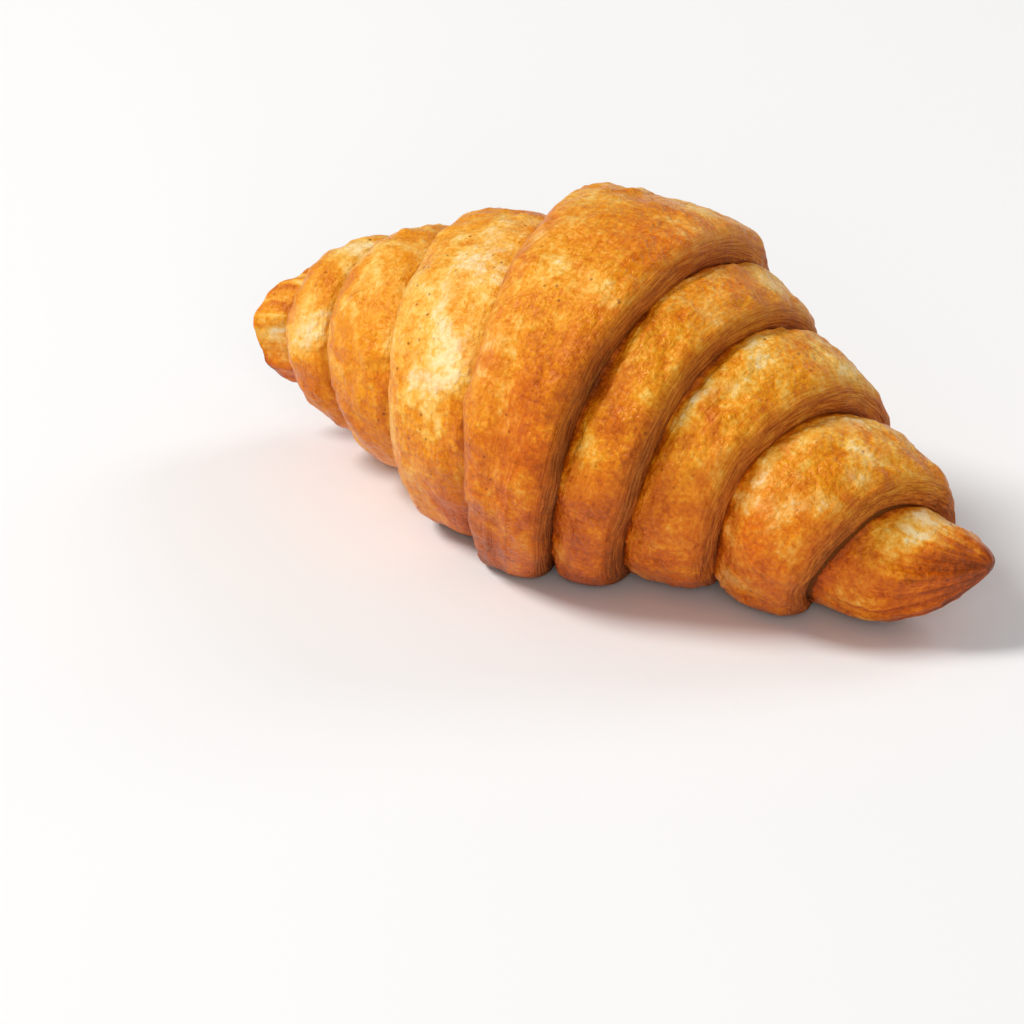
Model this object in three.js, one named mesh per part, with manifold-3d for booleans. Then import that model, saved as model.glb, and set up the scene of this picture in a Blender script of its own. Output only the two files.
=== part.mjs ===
// A baked croissant, lying on its flat underside.
//
// The dough is a long triangle rolled up from its wide end, so every wrap's two edges are helices
// that start at the flap's point, tucked under the roll, and run out to the two noses. Each wrap
// covers the start of the next one: its edge rounds over, drops and tucks back under itself.
//
// Lengths are in millimetres and angles in degrees. +X runs along the roll, -Y is its front and +Z
// is up. An angle round the roll counts from the top, through the front, to the underside. The turn
// count grows from 0 at the flap's point inwards, one for each turn of the dough.

import * as THREE from "three";
import { mergeVertices } from "three/addons/utils/BufferGeometryUtils.js";
import Module from "manifold-3d";

const FLAP_ANGLE = 227;     // where the flap's point is tucked in
const TURNS = 4;            // turns between the middle and the start of each nose
const FLARE_TURN = 0.11;    // turns over which the flap widens from its point

const MIDDLE_RADIUS = 37;   // of the roll under the widest wrap
const MIDDLE_ROUND = 0.15;  // share of the length over which the two cones blend
const WIDEN = 1.04;         // the roll sags, so it is a little wider than high
const SPINE_HEIGHT = 28.3;  // the roll's axis above the tray in the middle
const BOW = -0.016;         // how far each ring curves out of its plane, at the top and the sides
const SWEEP = -0.06;        // and halfway between them
const SKEW = 0.31;          // how far the rings lean along the roll, per unit of height
const YAW = -0.27;          // how far the rings are turned, per unit of depth

const EDGE_FROM = 0.52;     // share of a wrap at which its rounded edge begins
const EDGE_ROUND = 0.72;    // share of the edge that is the rounded shoulder, before the tuck
const EDGE_SQUARE = 0.8;    // 1 for a round shoulder, less for a squarer one
const TUCK = 1.1;           // how far an edge's foot tucks back under its shoulder
const TUCK_SHARE = 0.28;    // share of the step's height that lies in the tuck
const CREASE_REACH = 0.38;  // share of a wrap over which it rises out of the crease before it
const FADE_TURNS = 0.2;     // turns over which a step grows in at the flap and dies at the nose
const MEETING_REACH = 12;   // how far from the middle the two halves' heights blend into one
const SWELL_FADE = 0.35;    // turns before the nose over which the last wrap's swelling dies
const UNDER_ANGLE = 192;    // where the wraps are pressed into one another under the roll
const UNDER_MERGE = 0.85;   // how far they are pressed there
const UNDER_FLAT = 18;      // half the angle over which they are pressed most
const UNDER_FADE = 24;      // angle over which the pressing fades up the sides

const TRAY_SINK = 1.0;      // how far the underside is pressed past the tray before it is cut flat
const TRAY_SOFT = 5.0;      // height over which the sides round into the underside

const RIGHT = {
  sign: 1,
  half: 84.5,               // from the middle to the tip along the roll
  pitch: 12.5,              // how far an edge moves out in the first turn
  narrowing: -1.0,          // how much less it moves out in each turn after, negative for more
  flare: 8.9,               // extra half width the flap gains just after its point
  thinning: 0.86,           // share of the radius lost from the middle to the tip
  stub: 0,                  // least radius that the wraps thin to before the nose closes
  follow: 0.5,              // how far a wrap's top follows the cone instead of lying level
  shoulder: 8.5,            // radius along the roll of a wrap's rounded edge
  groove: 2.6,              // depth of the crease below the wrap that starts there
  swell: [1.8, -1.6, 1.2, 1.8], // how much each wrap bulges beyond the cone
  noseFrom: 0.87,           // share of the half length at which the nose closes in
  noseBlunt: 2.2,           // higher closes in later, for a blunter nose
  droop: 24,                // how far the axis sinks towards the tip
  bend: 1.6,                // how far the axis bends back towards the tip
  lean: 0.01,               // extra lean of the rings at the tip
  turn: 0.37,               // extra yaw of the rings at the tip
  turnLate: 1,              // higher keeps the extra yaw for the tip
  noseBack: 5.5,            // how far the nose turns back
  noseLift: 9.2,            // how far the nose turns up
};

const LEFT = {
  sign: -1,
  half: 69.6,
  pitch: 23.8,
  narrowing: 2.05,
  flare: 1,
  thinning: 0.9,
  stub: 12.3,
  follow: 0.42,
  shoulder: 6.0,
  groove: 3.0,
  swell: [0.4, 0.6, 4.2, 3.8],
  noseFrom: 0.92,
  noseBlunt: 6,
  droop: 9.5,
  bend: 11.9,
  lean: 0.41,
  turn: 0.79,
  turnLate: 2,
  noseBack: -5.4,
  noseLift: 0.2,
};

// Columns run round the roll. The lines between rings follow the helix of the edges, so a crease
// lies on one line; under the roll, where it can't be seen, each line returns to its own start.
const COLUMNS = 40;
const RETURN_ANGLE = 192;
const RETURN_HALF = 34;
const MIDDLE_STOPS = [0, 0.3, 0.52, 0.64, 0.76, 0.866];
const WRAP_STOPS = [0, 0.1, 0.24, 0.4, 0.52, 0.64, 0.76, 0.866];
const NOSE_STOPS = [0, 0.1, 0.25, 0.42, 0.6, 0.8, 1];

const CUT_SIZE = 400;       // side of the block that cuts the underside flat

const { clamp, lerp, degToRad, euclideanModulo } = THREE.MathUtils;

function smooth(value) {
  const t = clamp(value, 0, 1);
  return t * t * (3 - 2 * t);
}

function turnsFromFlap(angle) {
  return euclideanModulo(FLAP_ANGLE - angle, 360) / 360;
}

// Half the dough's width at a turn count: where that turn's edge lies along the roll.
function halfWidth(turn, side) {
  const t = Math.max(turn, 0);
  return side.pitch * t - side.narrowing * t ** 2 + side.flare * (1 - Math.exp(-t / FLARE_TURN));
}

// The cone that the wraps lie on, closed by a rounded nose.
function coneRadius(x, side) {
  const along = clamp(x / side.half, 0, 1);
  const blend = Math.hypot(along, MIDDLE_ROUND) - MIDDLE_ROUND;
  const full = Math.hypot(1, MIDDLE_ROUND) - MIDDLE_ROUND;
  const close = clamp((along - side.noseFrom) / (1 - side.noseFrom), 0, 1);
  const nose = Math.sqrt(1 - close ** side.noseBlunt);
  const cone = MIDDLE_RADIUS * (1 - side.thinning * (blend / full));
  return (cone ** 4 + side.stub ** 4) ** 0.25 * nose;
}

// 0 where the wraps stand apart, 1 where they merge: at the noses, and mostly under the roll.
function merging(turn, angle) {
  const under = 1 - smooth((Math.abs(angle - UNDER_ANGLE) - UNDER_FLAT) / UNDER_FADE);
  const atNose = smooth((turn - TURNS + FADE_TURNS) / FADE_TURNS);
  return 1 - (1 - atNose) * (1 - UNDER_MERGE * under);
}

function stepSize(turn, angle) {
  return smooth(turn / FADE_TURNS) * (1 - merging(turn, angle));
}

// A wrap's top lies between level and the cone, and follows the cone where the wraps merge.
function wrapTop(x, turn, angle, side) {
  const follow = lerp(side.follow, 1, merging(turn, angle));
  const levelAt = Math.min(halfWidth(turn - 0.5, side), side.half);
  return lerp(coneRadius(levelAt, side), coneRadius(Math.min(x, side.half), side), follow);
}

// A wrap's top, at one height in the middle where the two halves meet.
function topRadius(x, turn, angle, side) {
  const own = wrapTop(x, turn, angle, side);
  const meeting = (wrapTop(0, turn, angle, RIGHT) + wrapTop(0, turn, angle, LEFT)) / 2;
  return own + (meeting - wrapTop(0, turn, angle, side)) * (1 - smooth(x / MEETING_REACH));
}

// The point of the rolled dough at a label, counted in turns from the middle of the outer wrap
// towards the tip, and at an angle: its place along the roll and its distance from the axis.
function rollPoint(label, angle, side) {
  const flapTurn = turnsFromFlap(angle);
  const wrap = clamp(Math.ceil(label - flapTurn - 1e-9), 0, TURNS);
  const turn = flapTurn + wrap;
  const isNose = wrap === TURNS;
  let share = wrap === 0 ? label / Math.max(flapTurn, 1e-6) : label - turn + 1;
  if (isNose) {
    share = (label - turn + 1) / (TURNS + 2 - turn);
  }
  share = clamp(share, 0, 1);

  const sizeBefore = stepSize(turn - 1, angle);
  const start = (wrap === 0 ? 0 : halfWidth(turn - 1, side)) - TUCK * sizeBefore;
  const grooveBefore = side.groove * sizeBefore;
  if (isNose) {
    const x = lerp(start, side.half, Math.sin(share * Math.PI / 2));
    const rise = 1 - clamp(share / 0.4, 0, 1);
    return { x, radius: Math.max(topRadius(x, turn, angle, side) - grooveBefore * rise ** 2, 0) };
  }

  const size = stepSize(turn, angle);
  const end = halfWidth(turn, side);
  const shoulder = Math.min(side.shoulder, 0.7 * (end - start));
  const edge = clamp((share - EDGE_FROM) / (1 - EDGE_FROM), 0, 1);
  const over = clamp(edge / EDGE_ROUND, 0, 1) * Math.PI / 2;
  const under = clamp((edge - EDGE_ROUND) / (1 - EDGE_ROUND), 0, 1) * Math.PI / 2;
  const out = Math.sin(over) ** EDGE_SQUARE;
  const down = 1 - Math.cos(over) ** EDGE_SQUARE;
  const foot = end - TUCK * size;
  const onTop = share < EDGE_FROM;
  const x = onTop
    ? lerp(start, end - shoulder, share / EDGE_FROM)
    : end - shoulder * (1 - out) - TUCK * size * (1 - Math.cos(under));

  const swell = wrap === 0
    ? side.swell[0] * flapTurn
    : lerp(side.swell[wrap - 1], side.swell[wrap], flapTurn);
  const kept = 1 - smooth((turn - TURNS) / SWELL_FADE + 1);
  const bulge = swell * kept * Math.sin(Math.PI * share ** 1.3) ** clamp(3 - turn, 1, 2);
  const rise = 1 - clamp(share / CREASE_REACH, 0, 1);
  const nextTop = topRadius(foot, turn + 1, angle, side);
  const drop = topRadius(foot, turn, angle, side) - nextTop + side.groove * size;
  const dropShare = (1 - TUCK_SHARE) * down + TUCK_SHARE * Math.sin(under);
  const top = topRadius(x, turn, angle, side) + bulge - grooveBefore * rise ** 2;
  return { x, radius: Math.max(top - drop * dropShare, 0) };
}

// The side rounds into the underside, which is pressed slightly past the tray.
function pressOnTray(height) {
  const z = height + TRAY_SINK;
  if (z > TRAY_SOFT) {
    return height;
  }
  return z > -TRAY_SOFT ? (z + TRAY_SOFT) ** 2 / (4 * TRAY_SOFT) - TRAY_SINK : z + TRAY_SOFT - TRAY_SINK;
}

// From the straight roll to the baked shape: sagging axis, leaning rings and turned noses.
function bakedPoint({ x, radius }, angle, side) {
  const along = clamp(x / side.half, 0, 1);
  const intoTip = clamp((along - side.noseFrom + 0.1) / (1.1 - side.noseFrom), 0, 1) ** 2;
  const depth = -radius * Math.sin(degToRad(angle)) * WIDEN;
  const height = radius * Math.cos(degToRad(angle));
  const twice = 2 * degToRad(angle);
  const twist = radius * (BOW * Math.cos(twice) + SWEEP * Math.sin(twice));
  const lean = SKEW + side.sign * side.lean * along;
  const yaw = YAW + side.turn * along ** side.turnLate;
  return new THREE.Vector3(
    side.sign * x + lean * height + yaw * depth + twist,
    depth + side.bend * along ** 2 + side.noseBack * intoTip,
    pressOnTray(height + SPINE_HEIGHT - side.droop * along ** 2 + side.noseLift * intoTip),
  );
}

// The turn count that one line between rings follows. It falls steadily with the angle and climbs
// back by a whole turn under the roll.
function lineTurn(angle) {
  const turned = euclideanModulo(RETURN_ANGLE - angle, 360) / 360;
  const low = RETURN_HALF / 360;
  const high = 1 - low;
  const offset = (FLAP_ANGLE - RETURN_ANGLE) / 360;
  if (turned > low && turned < high) {
    return turned + offset;
  }
  const back = (turned >= high ? turned - high : turned + low) / (2 * low);
  return lerp(high, low, smooth(back)) + offset;
}

// Each row gives the label of its line where the line's turn count is known.
function sideRows() {
  const rows = MIDDLE_STOPS.map((stop) => (turn) => stop * turn);
  for (let wrap = 0; wrap < TURNS - 1; wrap++) {
    rows.push(...WRAP_STOPS.map((stop) => (turn) => turn + wrap + stop));
  }
  rows.push(...NOSE_STOPS.map((stop) => (turn) => lerp(turn + TURNS - 1, TURNS + 1, stop)));
  return rows;
}

function rolledGeometry() {
  const rows = [
    ...sideRows().reverse().map((label) => ({ label, side: RIGHT })),
    ...sideRows().slice(1).map((label) => ({ label, side: LEFT })),
  ];
  const geometry = new THREE.SphereGeometry(1, COLUMNS, rows.length - 1);
  const position = geometry.getAttribute("position");
  for (let vertex = 0; vertex < position.count; vertex++) {
    const { label, side } = rows[Math.floor(vertex / (COLUMNS + 1))];
    const angle = 360 * (vertex % (COLUMNS + 1) % COLUMNS) / COLUMNS;
    const point = bakedPoint(rollPoint(label(lineTurn(angle)), angle, side), angle, side);
    position.setXYZ(vertex, point.x, point.y, point.z);
  }
  return geometry;
}

function closedSolid(wasm, geometry) {
  geometry.deleteAttribute("normal");
  geometry.deleteAttribute("uv");
  const merged = mergeVertices(geometry, 1e-3);
  return new wasm.Manifold(new wasm.Mesh({
    numProp: 3,
    vertProperties: new Float32Array(merged.getAttribute("position").array),
    triVerts: new Uint32Array(merged.index.array),
  }));
}

const wasm = await Module();
wasm.setup();

const tray = new THREE.BoxGeometry(CUT_SIZE, CUT_SIZE, CUT_SIZE);
tray.translate(0, 0, -CUT_SIZE / 2);
const baked = closedSolid(wasm, rolledGeometry()).subtract(closedSolid(wasm, tray)).getMesh();

const geometry = new THREE.BufferGeometry();
geometry.setAttribute("position", new THREE.BufferAttribute(baked.vertProperties, 3));
geometry.setIndex(new THREE.BufferAttribute(baked.triVerts, 1));
geometry.computeBoundingBox();
const centre = geometry.boundingBox.getCenter(new THREE.Vector3());
geometry.translate(-centre.x, -centre.y, 0);
geometry.computeVertexNormals();

const croissant = new THREE.Mesh(
  geometry,
  new THREE.MeshStandardMaterial({ color: 0xcf8c36, roughness: 0.5, metalness: 0 }),
);
croissant.name = "croissant";

const part = new THREE.Group();
part.add(croissant);

export default part;
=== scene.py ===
"""A baked croissant on a pale floor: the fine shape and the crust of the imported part.

Lengths in the shape code are in millimetres and angles in degrees. +X runs along the roll, -Y is
its front and +Z is up. An angle round the roll counts from the top, through the front, to the
underside. The turn count grows from 0 at the flap's point inwards, one for each turn of dough.
"""

import math
from types import SimpleNamespace

import bmesh
import bpy
import numpy as np
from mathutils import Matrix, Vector


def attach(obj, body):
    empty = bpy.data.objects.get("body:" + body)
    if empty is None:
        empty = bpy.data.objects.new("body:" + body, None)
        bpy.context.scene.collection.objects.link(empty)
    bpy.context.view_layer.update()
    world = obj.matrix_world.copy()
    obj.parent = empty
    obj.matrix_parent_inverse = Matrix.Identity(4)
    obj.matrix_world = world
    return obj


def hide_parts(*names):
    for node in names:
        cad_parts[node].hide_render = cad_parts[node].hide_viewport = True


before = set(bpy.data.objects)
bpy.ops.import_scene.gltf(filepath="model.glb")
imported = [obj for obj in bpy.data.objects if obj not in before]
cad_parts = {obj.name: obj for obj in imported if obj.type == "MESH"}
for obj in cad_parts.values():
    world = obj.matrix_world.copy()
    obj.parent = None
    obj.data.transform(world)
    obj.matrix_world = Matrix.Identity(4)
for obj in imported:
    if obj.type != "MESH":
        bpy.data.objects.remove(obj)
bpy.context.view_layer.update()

MM = 0.001

FLAP_ANGLE = 227      # where the flap's point is tucked in
TURNS = 4             # turns between the middle and the start of each nose
FLARE_TURN = 0.11     # turns over which the flap widens from its point
MIDDLE_RADIUS = 37
MIDDLE_ROUND = 0.15   # share of the length over which the two cones blend
WIDEN = 1.04          # the roll sags, so it is a little wider than high
SPINE_HEIGHT = 28.3
BOW = -0.016          # how far each ring curves out of its plane, at the top and at the sides
SWEEP = -0.06         # and halfway between them
SKEW = 0.31           # how far the rings lean along the roll, per unit of height
YAW = -0.27           # how far the rings are turned, per unit of depth
EDGE_FROM = 0.52      # share of a wrap at which its rounded edge begins
EDGE_ROUND = 0.72     # share of the edge that is the rounded shoulder, before the tuck
EDGE_SQUARE = 0.8     # 1 for a round shoulder, less for a squarer one
TUCK = 1.1            # how far an edge's foot tucks back under its shoulder
TUCK_SHARE = 0.28     # share of the step's height that lies in the tuck
CREASE_REACH = 0.38   # share of a wrap over which it rises out of the crease before it
FADE_TURNS = 0.2      # turns over which a step grows in at the flap and dies at the nose
SWELL_FADE = 0.35     # turns before the nose over which the last wrap's swelling dies
MEETING_REACH = 12    # how far from the middle the two halves' heights blend into one
UNDER_ANGLE = 192     # where the wraps are pressed into one another under the roll
UNDER_MERGE = 0.85    # how far they are pressed there
UNDER_FLAT = 18       # half the angle over which they are pressed most
UNDER_FADE = 24       # angle over which the pressing fades up the sides
TRAY_SINK = 1.0       # how far the underside is pressed past the tray before it lies flat
TRAY_SOFT = 5.0       # height over which the sides round into the underside

# Each half of the roll, from the middle to its tip:
#   half        its length
#   pitch       how far the edge moves along the roll in one turn
#   narrowing   how much less that is with each turn
#   flare       how far the flap widens from its point
#   thinning    share of the radius lost on the way to the tip
#   stub        radius that a blunt end keeps
#   follow      how far a wrap's top follows the cone, from 0 for level
#   shoulder    length of a wrap's rounded edge
#   groove      depth of the crease below the next wrap
#   swell       how far each wrap swells, from the middle one out
#   nose_from   share of the length at which the nose closes, and nose_blunt how bluntly
#   droop       how far the axis sinks, and bend how far it turns back
#   lean        how much more its rings lean, turn how much they turn, and turn_late how late
#   nose_back   how far the nose turns back, and nose_lift how far it lifts
RIGHT = SimpleNamespace(
    sign=1, half=84.5, pitch=12.5, narrowing=-1.0, flare=8.9, thinning=0.86, stub=0,
    follow=0.5, shoulder=8.5, groove=2.6, swell=(1.8, -1.6, 1.2, 1.8, 0),
    nose_from=0.87, nose_blunt=2.9, droop=24, bend=1.6, lean=0.01, turn=0.37, turn_late=1,
    nose_back=5.5, nose_lift=9.2)
LEFT = SimpleNamespace(
    sign=-1, half=69.6, pitch=23.8, narrowing=2.05, flare=1, thinning=0.9, stub=12.3,
    follow=0.42, shoulder=6, groove=3.0, swell=(0.4, 0.6, 4.2, 3.8, 0),
    nose_from=0.92, nose_blunt=6, droop=9.5, bend=11.9, lean=0.41, turn=0.79, turn_late=2,
    nose_back=-5.4, nose_lift=0.2)

RETURN_ANGLE = 192    # under the roll, where the lines between rings return to their start
RETURN_HALF = 34      # half the angle over which they return

LAYERS_SHOWN = 5      # layers of dough that show on each edge

COLUMNS = 216         # points round each ring
MIDDLE_LINES = 44     # rings on half of the middle wrap, on each further wrap and on each nose
WRAP_LINES = 52
NOSE_LINES = 30

VIEW_ROUND = 38       # the camera's angle round to the right of the front, and up
VIEW_UP = 25
VIEW_DISTANCE = 1.2   # in metres, as are the places of the lights
VIEW_AIM = (-0.0079, -0.0165, 0.0085)
VIEW_LENS = 234.4
LIGHT_AIM = (0, 0, 0.03)
FLOOR_RADIUS = 4


# Smooth noise, always the same for the same place and seed

def smooth(value):
    t = np.clip(value, 0, 1)
    return t * t * (3 - 2 * t)


def lattice(cells, seed):
    """A number from 0 to 1 for each whole-number cell."""
    c = cells.astype(np.int64)
    mixed = c[..., 0] * 73856093 ^ c[..., 1] * 19349663 ^ c[..., 2] * 83492791 ^ seed * 2654435761
    mixed = (mixed ^ (mixed >> 13)) * 1274126177 & 0xFFFFFFFF
    mixed = (mixed ^ (mixed >> 16)) * 2246822519 & 0xFFFFFFFF
    return ((mixed ^ (mixed >> 15)) & 0xFFFFFF) / 0xFFFFFF


def noise(points, size, seed):
    """Smooth noise from -1 to 1 with features of about this size, a number or one for each axis."""
    scaled = points / np.asarray(size, float)
    cell = np.floor(scaled)
    part = smooth(scaled - cell)
    total = np.zeros(points.shape[:-1])
    for corner in np.ndindex(2, 2, 2):
        weight = np.prod(np.where(np.array(corner) == 1, part, 1 - part), axis=-1)
        total += weight * lattice(cell + corner, seed)
    return total * 2 - 1


def layered(points, size, seed, layers=3):
    total = 0
    for layer in range(layers):
        total = total + noise(points, np.asarray(size, float) / 2 ** layer, seed + layer) / 2 ** layer
    return total / 1.6


def blisters(points, spacing, seed, share):
    """Round domes from 0 to 1 scattered over a share of the cells of this size."""
    scaled = points / spacing
    cell = np.floor(scaled)
    dome = np.zeros(points.shape[:-1])
    for step in np.ndindex(3, 3, 3):
        near = cell + step - 1
        offset = np.stack([lattice(near, seed + axis) for axis in range(3)], axis=-1)
        radius = 0.25 + 0.25 * lattice(near, seed + 3)
        gap = np.linalg.norm(scaled - near - offset, axis=-1) / radius
        there = lattice(near, seed + 4) < share
        dome = np.maximum(dome, np.where(there, np.clip(1 - gap ** 2, 0, 1), 0))
    return dome


# The rolled dough

def turns_from_flap(angle):
    return np.mod(FLAP_ANGLE - angle, 360) / 360


def half_width(turn, side):
    """Half the dough's width at a turn count: where that turn's edge lies along the roll."""
    t = np.maximum(turn, 0)
    wander = 0.7 * np.sin(t * 9.1 + side.sign) + 0.5 * np.sin(t * 21.7 + 2 * side.sign)
    wander = wander * smooth(t / 0.5) * (1 - smooth((t - TURNS + 0.5) / 0.5))
    spread = side.pitch * t - side.narrowing * t ** 2
    return spread + side.flare * (1 - np.exp(-t / FLARE_TURN)) + wander * 0.6


def cone_radius(x, side):
    along = np.clip(x / side.half, 0, 1)
    blend = np.hypot(along, MIDDLE_ROUND) - MIDDLE_ROUND
    full = math.hypot(1, MIDDLE_ROUND) - MIDDLE_ROUND
    close = np.clip((along - side.nose_from) / (1 - side.nose_from), 0, 1)
    nose = np.sqrt(1 - close ** side.nose_blunt)
    cone = MIDDLE_RADIUS * (1 - side.thinning * blend / full)
    return (cone ** 4 + side.stub ** 4) ** 0.25 * nose


def merging(turn, angle):
    """0 where the wraps stand apart, 1 where they merge: at the noses, and mostly under the roll."""
    under = 1 - smooth((np.abs(angle - UNDER_ANGLE) - UNDER_FLAT) / UNDER_FADE)
    at_nose = smooth((turn - TURNS + FADE_TURNS) / FADE_TURNS)
    return 1 - (1 - at_nose) * (1 - UNDER_MERGE * under)


def step_size(turn, angle):
    return smooth(turn / FADE_TURNS) * (1 - merging(turn, angle))


def wrap_top(x, turn, angle, side):
    """A wrap's top lies between level and the cone, and follows the cone where the wraps merge."""
    follow = side.follow + (1 - side.follow) * merging(turn, angle)
    level_at = np.minimum(half_width(turn - 0.5, side), side.half)
    level = cone_radius(level_at, side)
    return level + follow * (cone_radius(np.minimum(x, side.half), side) - level)


def top_radius(x, turn, angle, side):
    """A wrap's top, at one height in the middle where the two halves meet."""
    own = wrap_top(x, turn, angle, side)
    meeting = (wrap_top(0, turn, angle, RIGHT) + wrap_top(0, turn, angle, LEFT)) / 2
    return own + (meeting - wrap_top(0, turn, angle, side)) * (1 - smooth(x / MEETING_REACH))


def roll(label, angle, side):
    """The rolled dough at labels, counted in turns from the middle of the outer wrap to the tip."""
    flap = turns_from_flap(angle)
    wrap = np.clip(np.ceil(label - flap - 1e-9), 0, TURNS)
    turn = flap + wrap
    first, nose = wrap == 0, wrap == TURNS
    share = np.where(first, label / np.maximum(flap, 1e-6), label - turn + 1)
    share = np.where(nose, (label - turn + 1) / (TURNS + 2 - turn), share)
    share = np.clip(share, 0, 1)

    size_before = step_size(turn - 1, angle)
    start = np.where(first, 0, half_width(turn - 1, side)) - TUCK * size_before
    groove_before = side.groove * size_before
    size = step_size(turn, angle)
    end = np.where(nose, side.half, half_width(turn, side))
    shoulder = np.minimum(side.shoulder, 0.7 * (end - start))
    edge = np.where(nose, 0, np.clip((share - EDGE_FROM) / (1 - EDGE_FROM), 0, 1))
    over = np.clip(edge / EDGE_ROUND, 0, 1) * math.pi / 2
    under = np.clip((edge - EDGE_ROUND) / (1 - EDGE_ROUND), 0, 1) * math.pi / 2
    foot = end - TUCK * size
    out = np.sin(over) ** EDGE_SQUARE
    down = 1 - np.cos(over) ** EDGE_SQUARE
    x_top = start + (end - shoulder - start) * share / EDGE_FROM
    x_edge = end - shoulder * (1 - out) - TUCK * size * (1 - np.cos(under))
    x_nose = start + (side.half - start) * np.sin(share * math.pi / 2)
    x = np.where(nose, x_nose, np.where(share < EDGE_FROM, x_top, x_edge))

    swells = np.array(side.swell, float)
    index = wrap.astype(int)
    swell = swells[index] * flap + np.where(first, 0, swells[np.maximum(index - 1, 0)]) * (1 - flap)
    swell = swell * (1 - smooth((turn - TURNS) / SWELL_FADE + 1))
    bulge = swell * np.sin(math.pi * share ** 1.3) ** np.clip(3 - turn, 1, 2)
    rise = 1 - np.clip(share / np.where(nose, 0.4, CREASE_REACH), 0, 1)
    drop = top_radius(foot, turn, angle, side) - top_radius(foot, turn + 1, angle, side)
    drop = np.where(nose, 0, drop + side.groove * size)
    drop_share = (1 - TUCK_SHARE) * down + TUCK_SHARE * np.sin(under)
    top = top_radius(x, turn, angle, side) + bulge - groove_before * rise ** 2
    radius = np.maximum(top - drop * drop_share, 0)
    return SimpleNamespace(
        x=x, radius=radius, share=share, turn=turn, wrap=wrap, nose=nose, start=start, end=end,
        size=size, size_before=size_before, drop=drop,
        fallen=np.where(nose | (share < EDGE_FROM), 0, drop_share))


def press_on_tray(height):
    z = height + TRAY_SINK
    soft = (z + TRAY_SOFT) ** 2 / (4 * TRAY_SOFT) - TRAY_SINK
    return np.where(z > TRAY_SOFT, height, np.where(z > -TRAY_SOFT, soft, z + TRAY_SOFT - TRAY_SINK))


def bake(x, radius, angle, side):
    """From the straight roll to the baked shape: sagging axis, leaning rings and turned noses."""
    along = np.clip(x / side.half, 0, 1)
    into_tip = np.clip((along - side.nose_from + 0.1) / (1.1 - side.nose_from), 0, 1) ** 2
    depth = -radius * np.sin(np.radians(angle)) * WIDEN
    height = radius * np.cos(np.radians(angle))
    twist = radius * (BOW * np.cos(np.radians(2 * angle)) + SWEEP * np.sin(np.radians(2 * angle)))
    lean = SKEW + side.sign * side.lean * along
    yaw = YAW + side.turn * along ** side.turn_late
    spine = SPINE_HEIGHT - side.droop * along ** 2 + side.nose_lift * into_tip
    return np.stack([
        side.sign * x + lean * height + yaw * depth + twist,
        depth + side.bend * along ** 2 + side.nose_back * into_tip,
        press_on_tray(height + spine),
    ], axis=-1)


def line_turn(angle):
    """The turn count that one line between rings follows, back by a whole turn under the roll."""
    turned = np.mod(RETURN_ANGLE - angle, 360) / 360
    low = RETURN_HALF / 360
    high = 1 - low
    back = np.where(turned >= high, turned - high, turned + low) / (2 * low)
    returning = (turned >= high) | (turned <= low)
    offset = (FLAP_ANGLE - RETURN_ANGLE) / 360
    return np.where(returning, high + (low - high) * smooth(back), turned) + offset


def wrap_stops(lines):
    """Shares of a wrap, closer together in its crease and over its rounded edge."""
    crease = np.linspace(0, 0.16, round(lines * 0.22), endpoint=False)
    flat = np.linspace(0.16, EDGE_FROM, round(lines * 0.26), endpoint=False)
    edge = np.linspace(EDGE_FROM, 1, lines - len(crease) - len(flat), endpoint=False)
    return np.concatenate([crease, flat, edge])


def side_labels(turn):
    middle = wrap_stops(MIDDLE_LINES)[:, None] * turn
    wraps = [turn + wrap + stop for wrap in range(TURNS - 1) for stop in wrap_stops(WRAP_LINES)]
    inner = turn + TURNS - 1
    nose = [inner + (TURNS + 1 - inner) * stop for stop in np.linspace(0, 1, NOSE_LINES)]
    return np.vstack([middle, *wraps, *nose])


def both_sides(columns):
    """The whole roll as rings of points, from the right tip to the left tip."""
    angle = np.mod(180 + 360 * np.arange(columns) / columns, 360)
    labels = side_labels(line_turn(angle))
    parts = []
    for side, rows in ((RIGHT, labels[::-1]), (LEFT, labels[1:])):
        angles = np.broadcast_to(angle, rows.shape)
        rolled = roll(rows, angles, side)
        rolled.angle = angles
        rolled.side = np.full(rows.shape, side.sign)
        rolled.point = bake(rolled.x, rolled.radius, angles, side)
        parts.append(rolled)
    return SimpleNamespace(**{
        name: np.concatenate([getattr(part, name) for part in parts]) for name in vars(parts[0])})


def ring_normals(point):
    along = np.gradient(point, axis=0)
    round_ring = (np.roll(point, -1, axis=1) - np.roll(point, 1, axis=1)) / 2
    normal = np.cross(along, round_ring)
    length = np.linalg.norm(normal, axis=-1, keepdims=True)
    normal = normal / np.maximum(length, 1e-9)
    outward = point - point.mean(axis=1, keepdims=True)
    if (normal * outward).sum() < 0:
        normal = -normal
    normal[0] = (1, 0, 0)
    normal[-1] = (-1, 0, 0)
    return normal


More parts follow.
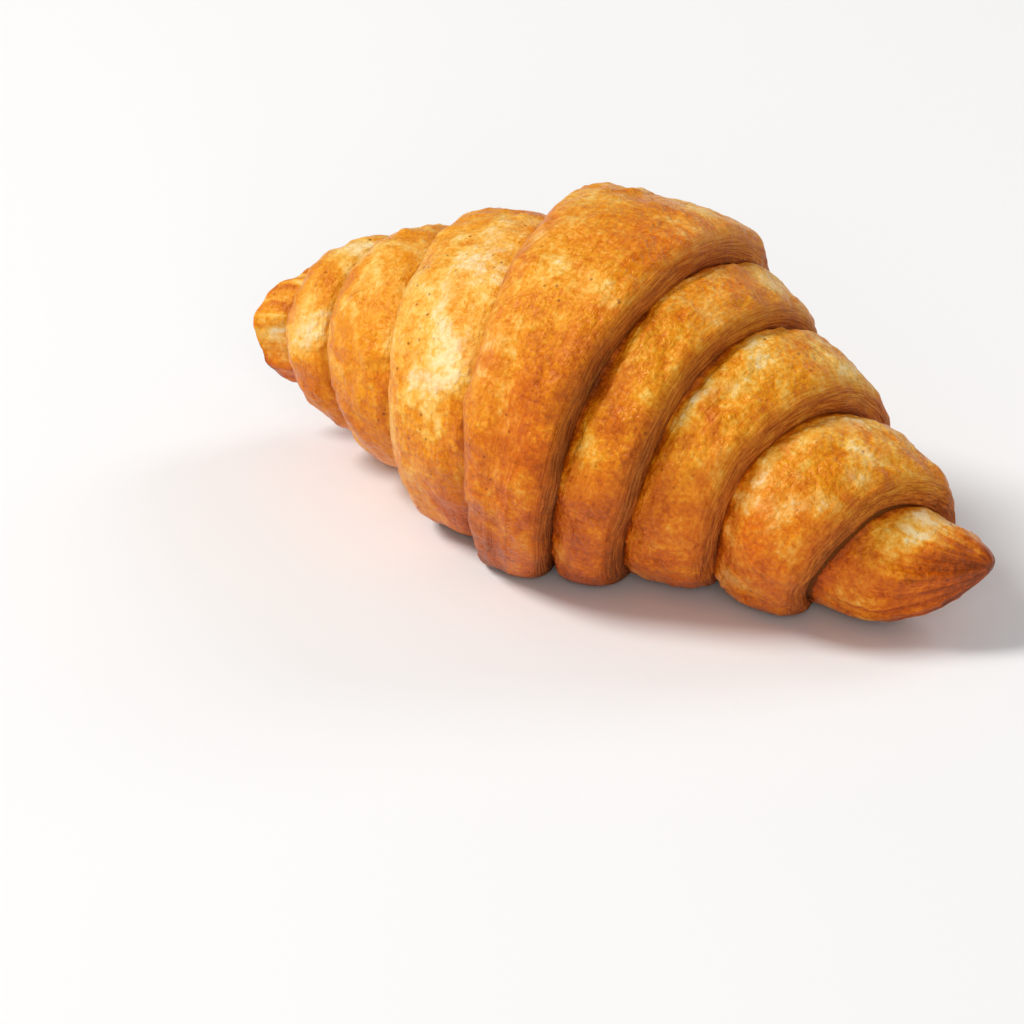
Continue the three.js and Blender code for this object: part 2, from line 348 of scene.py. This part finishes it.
def detailed(roll_rings):
    """Adds the risen dough's lumps, blisters, flakes and the layers that show on the edges."""
    r = roll_rings
    p = r.point
    # a place on the unrolled strip: along its length, across it, and which wrap it is
    strip = np.stack([r.turn * 230, r.side * r.share * 18, r.side * r.wrap * 50.0], axis=-1)
    steep = smooth((p[..., 2] - 0.4) / 4)
    on_top = 1 - smooth((r.fallen - 0.04) / 0.2)
    face = smooth((r.fallen - 0.06) / 0.12) * (1 - smooth((r.fallen - 0.88) / 0.12)) * r.size

    lumps = 0.9 * layered(p, 24, 11, 2) + 0.75 * layered(p, 9, 21, 2)
    skin = 0.25 * noise(p, 3.4, 31) + 0.18 * noise(p, 1.9, 32)
    wrinkle = 0.22 * layered(strip, (22, 1.6, 1), 41, 2) * on_top
    rising = smooth(r.share / 0.05) * (1 - smooth((r.share - 0.2) / 0.2)) * r.size_before
    flaky = 0.4 * np.abs(layered(strip, (9, 1.1, 1), 51, 2)) * rising
    peel = 0.3 * smooth((layered(p, 13, 61, 3) - 0.12) / 0.06) * on_top
    bubbles = (0.55 * blisters(p, 7.0, 71, 0.3) + 0.3 * blisters(p, 3.6, 81, 0.3)) * on_top
    layers = np.abs(np.mod(r.fallen * LAYERS_SHOWN + 0.7 * noise(strip, (34, 400, 1), 91), 1) * 2 - 1)
    depth = 0.6 + 0.4 * noise(strip, (16, 5, 1), 95)
    lamination = (0.3 * layers * depth + 0.16 * layered(strip, (12, 0.8, 1), 97, 2)) * face
    rim = np.exp(-((r.fallen - 0.1) / 0.08) ** 2) * r.size
    teeth = (0.35 * noise(strip, (2.6, 30, 1), 101) + 0.35 * noise(strip, (6.5, 30, 1), 102)) * rim
    ridges = np.where(r.nose, smooth((r.share - 0.05) / 0.3) * (1 - smooth((r.share - 0.85) / 0.15)), 0)
    around = np.radians(r.angle)
    folds = np.stack([np.sin(around) * 12, np.cos(around) * 12, r.x * 0.18], axis=-1)
    ridges = 1.2 * layered(folds, 3.6, 111, 2) * ridges

    lift = (lumps - 0.4 + skin + wrinkle + flaky + peel + bubbles + teeth + ridges + lamination) * steep
    deep = np.exp(-((1 - r.fallen) / 0.12) ** 2) * r.size
    deep = np.clip(deep + np.exp(-(r.share / 0.03) ** 2) * r.size_before, 0, 1)
    lift = lift * (1 - deep) * smooth(r.radius / 9)
    moved = p + ring_normals(p) * lift[..., None]
    pole = moved[[0, -1]].mean(axis=1, keepdims=True)
    moved[0], moved[-1] = pole[0], pole[1]
    recess = 0.7 * deep + 0.12 * np.clip(layered(p, 8, 121, 2), 0, 1)
    moved[..., 2] = np.maximum(moved[..., 2], np.minimum(recess, 1.0))
    return moved


# Meshes

def keep_numbers(mesh, name, values):
    layer = mesh.attributes.new(name, "FLOAT", "POINT")
    layer.data.foreach_set("value", np.ascontiguousarray(values, dtype=np.float32))


def keep_vectors(mesh, name, values):
    layer = mesh.attributes.new(name, "FLOAT_VECTOR", "POINT")
    layer.data.foreach_set("vector", np.ascontiguousarray(values, dtype=np.float32).ravel())


def croissant_piece():
    rings = both_sides(COLUMNS)
    point = detailed(rings)
    lines = len(point)
    low, high = point.reshape(-1, 3).min(axis=0), point.reshape(-1, 3).max(axis=0)
    centre = (low + high) / 2
    point = point - (centre[0], centre[1], 0)

    # a ball of rings and columns, whose points then move to the roll's
    dough = bmesh.new()
    bmesh.ops.create_uvsphere(dough, u_segments=COLUMNS, v_segments=lines - 1, radius=1)
    ball = np.array([v.co for v in dough.verts])
    line = np.rint(np.arccos(np.clip(ball[:, 2], -1, 1)) / math.pi * (lines - 1)).astype(int)
    turn = np.arctan2(ball[:, 1], ball[:, 0]) / (2 * math.pi) * COLUMNS
    column = np.mod(np.rint(turn).astype(int), COLUMNS)
    places = point[line, column] * MM
    for vertex, place in zip(dough.verts, places):
        vertex.co = place

    # the crust is unrolled once round the seam under the croissant
    step = np.linalg.norm(np.diff(point, axis=0), axis=-1).mean(axis=1)
    height = np.concatenate([[0], np.cumsum(step)])
    height = height / height[-1]
    unrolled = dough.loops.layers.uv.new("OFBake")
    dough.verts.index_update()
    for facet in dough.faces:
        columns = [int(column[loop.vert.index]) for loop in facet.loops]
        tips = [line[loop.vert.index] in (0, lines - 1) for loop in facet.loops]
        known = [c for c, tip in zip(columns, tips) if not tip]
        if max(known) - min(known) > COLUMNS / 2:
            columns = [c + COLUMNS if c < COLUMNS / 2 else c for c in columns]
            known = [c for c, tip in zip(columns, tips) if not tip]
        for loop, c, tip in zip(facet.loops, columns, tips):
            across = sum(known) / len(known) if tip else c
            loop[unrolled].uv = (across / COLUMNS, height[line[loop.vert.index]])
    for facet in dough.faces:
        facet.smooth = True
    bmesh.ops.recalc_face_normals(dough, faces=dough.faces)
    mesh = bpy.data.meshes.new("croissant_crust")
    dough.to_mesh(mesh)
    dough.free()

    at = (line, column)
    r = rings
    # how far each place lies on an edge, weighted twice as much on the right half: the edges' tan there
    # is partly painted shade on the side facing away from the light
    edge_weight_and_shade = np.clip(r.drop / 3, 0, 1) * np.where(r.side > 0, 1, 0.5)
    keep_numbers(mesh, "edge", (r.fallen * edge_weight_and_shade)[at])
    # how near each place is to a crease, where the material paints shade
    foot_gap = np.where(r.nose, 99, (1 - r.share) * (r.end - r.start))
    start_gap = r.share * (r.end - r.start)
    near = np.maximum(np.exp(-foot_gap / 2.0) * r.size, np.exp(-start_gap / 1.4) * r.size_before)
    keep_numbers(mesh, "crease", near[at])
    # where each wrap rises out of the crease before it, where the material paints a highlight
    rising = smooth(start_gap / 2) * (1 - smooth((start_gap - 4) / 7)) * r.size_before
    keep_numbers(mesh, "rising", rising[at])
    keep_numbers(mesh, "nose", np.where(r.nose, r.share, 0)[at])
    strip = np.stack([r.turn * 0.23, r.side * r.share * 0.018, r.side * r.wrap * 0.05], axis=-1)
    around = np.radians(r.angle)
    folds = np.stack([r.x * 0.0006, np.sin(around) * 0.009, np.cos(around) * 0.03], axis=-1)
    keep_vectors(mesh, "strip", np.where(r.nose[..., None], folds, strip)[at])
    piece = bpy.data.objects.new("croissant_crust", mesh)
    bpy.context.scene.collection.objects.link(piece)
    return piece


# Materials

def colour(red, green, blue):
    """A surface colour from its everyday 0 to 255 values."""
    def linear(value):
        v = value / 255
        return v / 12.92 if v <= 0.04045 else ((v + 0.055) / 1.055) ** 2.4
    return (linear(red), linear(green), linear(blue), 1)


class Shade:
    """A socket in a material; sums on it add Math nodes."""

    def __init__(self, finish, socket):
        self.finish = finish
        self.socket = socket

    def sum(self, operation, *values):
        return self.finish.add("ShaderNodeMath", {"operation": operation}, dict(enumerate(values)))

    def __add__(self, other):
        return self.sum("ADD", self, other)

    def __radd__(self, other):
        return self.sum("ADD", other, self)

    def __sub__(self, other):
        return self.sum("SUBTRACT", self, other)

    def __rsub__(self, other):
        return self.sum("SUBTRACT", other, self)

    def __mul__(self, other):
        return self.sum("MULTIPLY", self, other)

    def __rmul__(self, other):
        return self.sum("MULTIPLY", other, self)

    def ramp(self, low, high):
        """Smoothly from 0 at low to 1 at high."""
        return self.finish.add(
            "ShaderNodeMapRange", {"interpolation_type": "SMOOTHSTEP"},
            {"Value": self, "From Min": low, "From Max": high})

    def within(self):
        return self.finish.add("ShaderNodeClamp", {}, {"Value": self})

    def most(self, other):
        return self.sum("MAXIMUM", self, other)


class Finish:
    """A node material, built node by node."""

    def __init__(self, name):
        self.material = bpy.data.materials.new(name)
        self.material.use_nodes = True
        self.nodes = self.material.node_tree.nodes
        self.links = self.material.node_tree.links
        self.nodes.clear()

    def add(self, kind, settings=None, sockets=None, output=0):
        """A node of a kind: its settings first, a ramp's stops among them, then its sockets."""
        node = self.nodes.new(kind)
        for name, value in (settings or {}).items():
            if name == "stops":
                self.set_stops(node.color_ramp.elements, value)
            else:
                setattr(node, name, value)
        for name, value in (sockets or {}).items():
            if isinstance(value, Shade):
                self.links.new(value.socket, node.inputs[name])
            else:
                node.inputs[name].default_value = value
        return Shade(self, node.outputs[output]) if node.outputs else None

    def set_stops(self, elements, stops):
        while len(elements) < len(stops):
            elements.new(1)
        for element, (position, tint) in zip(elements, stops):
            element.position = position
            element.color = tint

    def place(self):
        return self.add("ShaderNodeTexCoord", output=3)

    def number(self, name):
        return self.add("ShaderNodeAttribute", {"attribute_name": name}, output=2)

    def vector(self, name):
        return self.add("ShaderNodeAttribute", {"attribute_name": name}, output=1)

    def stretched(self, vector, scale):
        return self.add("ShaderNodeMapping", {}, {"Vector": vector, "Scale": scale})

    def clouds(self, vector, scale, detail=3.0, rough=0.55, twist=0.0):
        return self.add("ShaderNodeTexNoise", {}, {
            "Vector": vector, "Scale": scale, "Detail": detail, "Roughness": rough,
            "Distortion": twist})

    def cells(self, vector, scale):
        return self.add("ShaderNodeTexVoronoi", {}, {"Vector": vector, "Scale": scale})

    def distance(self, vector, place):
        return self.add(
            "ShaderNodeVectorMath", {"operation": "DISTANCE"}, {0: vector, 1: place}, output=1)

    def mix(self, factor, first, second):
        return self.add(
            "ShaderNodeMix", {"data_type": "RGBA"}, {0: factor, 6: first, 7: second}, output=2)

    def ramp(self, factor, stops):
        return self.add("ShaderNodeValToRGB", {"stops": stops}, {0: factor})

    def surface(self, **sockets):
        named = {name.replace("_", " "): value for name, value in sockets.items()}
        shader = self.add("ShaderNodeBsdfPrincipled", {}, named)
        self.add("ShaderNodeOutputMaterial", {}, {"Surface": shader})
        return self.material


def crust_finish():
    f = Finish("baked_crust")
    at = f.place()
    strip = f.vector("strip")
    edge = f.number("edge")
    crease = f.number("crease")
    rising = f.number("rising")
    nose = f.number("nose")
    along = f.add("ShaderNodeSeparateXYZ", {}, {"Vector": at}, output=0)
    height = f.add("ShaderNodeSeparateXYZ", {}, {"Vector": at}, output=2)

    broad = f.clouds(at, 38, 2, 0.5, 0.3)
    wash = f.clouds(at, 70, 3, 0.55, 0.5)
    patch = f.clouds(at, 170, 3, 0.6, 0.4)
    mottle = f.clouds(at, 520, 3, 0.65)
    grain = f.clouds(at, 1500, 2, 0.6)
    pores = f.cells(at, 780)
    streak = f.clouds(f.stretched(strip, (0.3, 4.5, 1)), 170, 3, 0.6)
    fibre = f.clouds(f.stretched(strip, (0.35, 8, 1)), 420, 3, 0.6)

    low = 1 - height.ramp(0.003, 0.046)
    left = 1 - along.ramp(-0.06, 0.02)
    middle = (1 - left) * (1 - along.ramp(0.01, 0.042))
    face = (edge + 0.12 * (streak - 0.5)).ramp(0.0, 0.4)
    # painted shade in the creases
    painted_crease_shade = (crease + 0.25 * (streak - 0.5)).ramp(0.08, 1)

    # one pale patch left of the middle, a painted highlight, and one darker patch at the front, painted
    # shade
    pale = 1 - f.distance(strip, (0.34, -0.009, -0.05)).ramp(0.006, 0.03)
    painted_shade_patch = 1 - f.distance(at, (0.02, -0.034, 0.038)).ramp(0.006, 0.026)

    # how dark or pale each place is, from 0 for scorched to 1 for pale, glazed skin: how far it has
    # baked, with painted shade and painted highlights added to it below
    blotches = 0.9 * (wash - 0.5) + 0.75 * (patch - 0.5)
    blotches = blotches.most(0.5 * blotches)
    grains = 0.25 * (mottle - 0.5) + 0.36 * (grain - 0.5) + 0.14 * (0.45 - pores)
    lines = (0.2 + 0.5 * face + 0.6 * nose.ramp(0.05, 0.3)) * (streak - 0.5)
    lines = lines + (0.06 + 0.6 * face) * (fibre - 0.5)
    calm = 1 - 0.35 * left
    tone = 0.62 + blotches * (1 - 0.6 * face) + grains * calm * (1 - 0.5 * face) + lines
    # a painted highlight where each wrap rises out of its crease, kept out of the crease's painted
    # shade
    tone = tone + rising * (1 - painted_crease_shade) * (0.04 + 0.3 * (wash - 0.45))
    # darker towards the bottom and most in the middle: partly a browner crust, partly painted shade
    tone = tone - (0.15 - 0.05 * left) * low - 0.1 * middle * low
    # the edges darker, partly their own tan and partly painted shade; painted shade in the creases and
    # on the darker patch; a painted highlight on the pale patch
    tone = tone - 0.13 * face - 0.36 * painted_crease_shade + 0.13 * pale - 0.15 * painted_shade_patch
    tone = tone - 0.24 * nose.ramp(0.25, 1) * (0.35 + low) * (1 - 0.3 * left)
    tone = tone - 0.13 * left * nose.ramp(0, 0.15)
    golden = f.ramp(tone, (
        (0.02, colour(100, 36, 2)), (0.2, colour(140, 58, 0)), (0.36, colour(190, 88, 2)),
        (0.5, colour(220, 122, 6)), (0.62, colour(236, 152, 24)), (0.76, colour(246, 190, 84)),
        (0.92, colour(252, 222, 162))))
    reddish = f.ramp(tone, (
        (0.02, colour(98, 32, 2)), (0.2, colour(136, 52, 0)), (0.36, colour(188, 76, 2)),
        (0.5, colour(216, 104, 6)), (0.62, colour(230, 134, 26)), (0.76, colour(241, 172, 80)),
        (0.92, colour(250, 212, 160))))
    warm = (broad + 0.3 * (patch - 0.5) - 0.17 * left + 0.14 * (low - 0.5)).ramp(0.38, 0.62)
    base = f.mix(warm * 0.85, golden, reddish)
    # ruddy patches, mostly low down
    ruddy = (f.clouds(at, 95, 3, 0.6, 0.6) + 0.1 * low).ramp(0.5, 0.66)
    ruddy_skin = f.mix(tone.within(), colour(130, 40, 2), colour(246, 122, 24))
    base = f.mix(ruddy * (0.45 - 0.35 * left), base, ruddy_skin)
    # the edges are matt and tan, more so on the right half, where that is partly painted shade
    tan = f.mix(fibre.ramp(0.36, 0.64), colour(138, 72, 18), colour(204, 130, 56))
    base = f.mix(face * 0.45, base, tan)
    # tiny burnt specks
    speck = 1 - f.cells(at, 380).ramp(0.04, 0.17)
    speck = speck * f.clouds(at, 60, 2, 0.5).ramp(0.46, 0.6)
    base = f.mix(speck * 0.8, base, colour(120, 52, 8))
    # underneath, even and brown
    sole = 1 - height.ramp(0.0006, 0.004)
    brown = f.mix(mottle.ramp(0.35, 0.65), colour(150, 84, 34), colour(112, 54, 20))
    base = f.mix(sole * 0.8, base, brown)

    rough = 0.27 + 0.6 * (patch - 0.4).within() + 0.25 * face + 0.3 * painted_crease_shade + 0.2 * sole
    relief = 0.34 * mottle + 0.4 * grain - 0.35 * pores + 0.35 * streak + (0.15 + face) * fibre
    bump = f.add("ShaderNodeBump", {}, {"Strength": 0.75, "Distance": 0.0011, "Height": relief})
    return f.surface(
        Base_Color=base, Roughness=rough.within(), Normal=bump, Specular_IOR_Level=0.36,
        Specular_Tint=(1, 0.78, 0.45, 1))


def floor_finish():
    f = Finish("pale_floor")
    return f.surface(Base_Color=(0.9, 0.9, 0.9, 1), Roughness=0.9)


# The scene

def soft_light(name, place, size, power, tint=(1, 1, 1)):
    lamp = bpy.data.lights.new(name, "AREA")
    lamp.shape = "DISK"
    lamp.size = size
    lamp.energy = power
    lamp.color = tint
    light = bpy.data.objects.new(name, lamp)
    light.location = place
    light.rotation_euler = (Vector(LIGHT_AIM) - Vector(place)).to_track_quat("-Z", "Y").to_euler()
    bpy.context.scene.collection.objects.link(light)


def studio():
    disc = bmesh.new()
    bmesh.ops.create_circle(disc, cap_ends=True, segments=96, radius=FLOOR_RADIUS)
    mesh = bpy.data.meshes.new("floor")
    disc.to_mesh(mesh)
    disc.free()
    floor = bpy.data.objects.new("floor", mesh)
    floor.data.materials.append(floor_finish())
    bpy.context.scene.collection.objects.link(floor)

    world = bpy.data.worlds.new("studio")
    world.use_nodes = True
    world.node_tree.nodes["Background"].inputs["Color"].default_value = (1, 1, 1, 1)
    world.node_tree.nodes["Background"].inputs["Strength"].default_value = 0.3
    bpy.context.scene.world = world
    soft_light("key", (-1.15, -0.8, 1.6), 0.75, 34.5, (1, 0.99, 0.97))
    soft_light("fill", (1.2, -1.5, 0.8), 1.2, 12, (1, 0.99, 0.98))
    soft_light("back", (0.4, 1.6, 1.2), 1.0, 8)

    bpy.context.scene.view_settings.view_transform = "Standard"


def viewpoint():
    azimuth, elevation = math.radians(VIEW_ROUND), math.radians(VIEW_UP)
    back = Vector((
        math.sin(azimuth) * math.cos(elevation), -math.cos(azimuth) * math.cos(elevation),
        math.sin(elevation)))
    lens = bpy.data.cameras.new("camera")
    lens.lens = VIEW_LENS
    lens.sensor_width = 36
    camera = bpy.data.objects.new("camera", lens)
    camera.location = Vector(VIEW_AIM) + back * VIEW_DISTANCE
    camera.rotation_euler = back.to_track_quat("Z", "Y").to_euler()
    bpy.context.scene.collection.objects.link(camera)
    bpy.context.scene.camera = camera


croissant = croissant_piece()
croissant.data.materials.append(crust_finish())
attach(croissant, "root")
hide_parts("croissant")
studio()
viewpoint()
